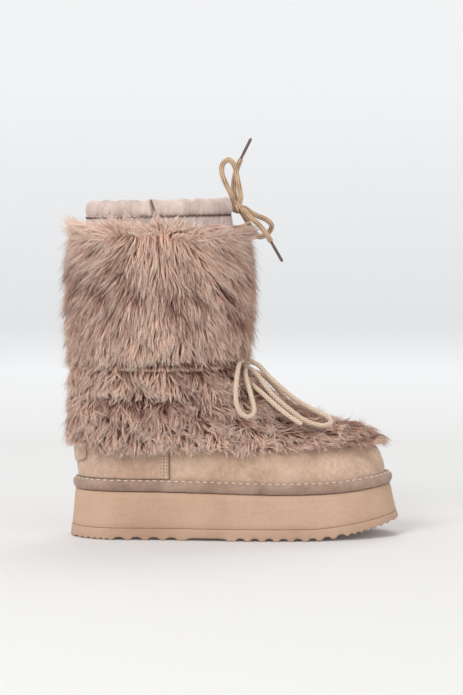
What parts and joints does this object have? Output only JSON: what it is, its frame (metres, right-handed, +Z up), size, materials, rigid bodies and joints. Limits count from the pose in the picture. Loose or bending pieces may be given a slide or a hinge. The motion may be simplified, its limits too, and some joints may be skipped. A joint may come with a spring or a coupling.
{
  "type": "mukluk boot",
  "caption": "Ankle-high winter boot: suede foot on a rippled platform sole, tiers of long fur, drawstring collar and a lace tied round the ankle.",
  "frame": {"origin": "on the floor under the middle of the boot's box, cords left out", "axes": "+X towards the toe, +Y towards the inner side of the foot, +Z up"},
  "size_m": [0.2919, 0.1173, 0.3446],
  "materials": {
    "suede": "matte brushed suede",
    "binding": "matte suede strip",
    "foam": "matte foam",
    "rubber": "matte rubber",
    "fur": "long soft pile",
    "nylon": "smooth woven cloth with a slight sheen",
    "lining": "short soft pile",
    "lace": "round braided cord",
    "drawcord": "round braided cord",
    "aglet": "smooth tip"
  },
  "bodies": {
    "root": {"outsole": "rubber", "midsole": "foam", "welt": "binding", "insole": "lining", "upper": "suede", "heel_counter": "suede", "heel_tab": "suede", "collar": "nylon", "fur_shaft": "fur", "fur_ankle": "fur", "fur_vamp": "fur", "ankle_tie": "lace", "drawcord_run": "drawcord", "lace_knot": "lace", "lace_loop_near": "lace", "lace_loop_front": "lace", "lace_end_near": "lace", "lace_end_far": "lace", "lace_aglet_near": "aglet", "lace_aglet_far": "aglet", "drawcord_knot": "drawcord", "drawcord_loop_up": "drawcord", "drawcord_loop_side": "drawcord", "drawcord_end_up": "drawcord", "drawcord_end_side": "drawcord", "drawcord_aglet_up": "aglet", "drawcord_aglet_side": "aglet"}
  },
  "joints": []
}
